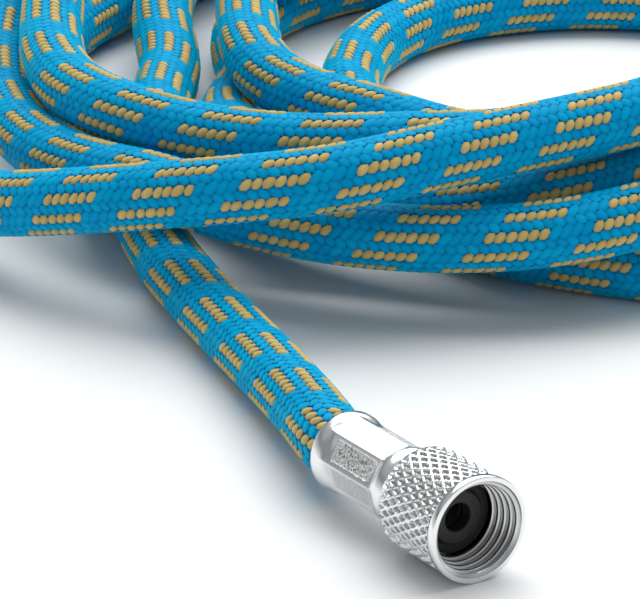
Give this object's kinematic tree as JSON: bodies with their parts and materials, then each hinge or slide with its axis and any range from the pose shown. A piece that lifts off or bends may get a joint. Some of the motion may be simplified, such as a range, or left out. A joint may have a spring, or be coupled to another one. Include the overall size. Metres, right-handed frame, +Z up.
{
  "type": "braided fluid hose",
  "caption": "Loosely coiled flexible hose with a textile braid cover and a crimped ferrule, knurled swivel nut and flat seal on each end.",
  "frame": {"origin": "on the near coupling's axis, where its internal thread begins behind the mouth chamfer", "axes": "+X out of the near coupling's mouth along its thread axis, +Z up from the floor the coil lies on"},
  "size_m": [0.2087, 0.1787, 0.027],
  "materials": {
    "plating": "bright nickel plate",
    "tail_metal": "turned, bright",
    "seal_rubber": "matt",
    "braid": "braided multifilament yarn, blue with dashed gold marker yarns",
    "liner": "soft tube, satin"
  },
  "bodies": {
    "hose": {"near_hose_tail": "tail_metal", "near_ferrule": "plating", "near_hose_cover": "braid", "near_hose_liner": "liner", "far_hose_tail": "tail_metal", "far_ferrule": "plating", "far_hose_cover": "braid", "far_hose_liner": "liner", "hose_coil": "braid"},
    "near_washer": {"near_seal_washer": "seal_rubber"},
    "near_nut": {"near_swivel_nut": "plating"},
    "far_washer": {"far_seal_washer": "seal_rubber"},
    "far_nut": {"far_swivel_nut": "plating"}
  },
  "joints": [
    {"name": "near_washer_float", "type": "slide", "parent": "hose", "child": "near_washer", "axis": [1, 0, 0], "range_m": [-0.00045, 0]},
    {"name": "near_nut_swivel", "type": "hinge", "parent": "near_washer", "child": "near_nut", "pos_m": [0, 0, 0], "axis": [1, 0, 0], "continuous": true},
    {"name": "far_washer_float", "type": "slide", "parent": "hose", "child": "far_washer", "axis": [-0.88, 0.4749, 0], "range_m": [-0.00045, 0]},
    {"name": "far_nut_swivel", "type": "hinge", "parent": "far_washer", "child": "far_nut", "pos_m": [-0.20389, 0.03033, 0], "axis": [-0.88, 0.4749, 0], "continuous": true}
  ]
}
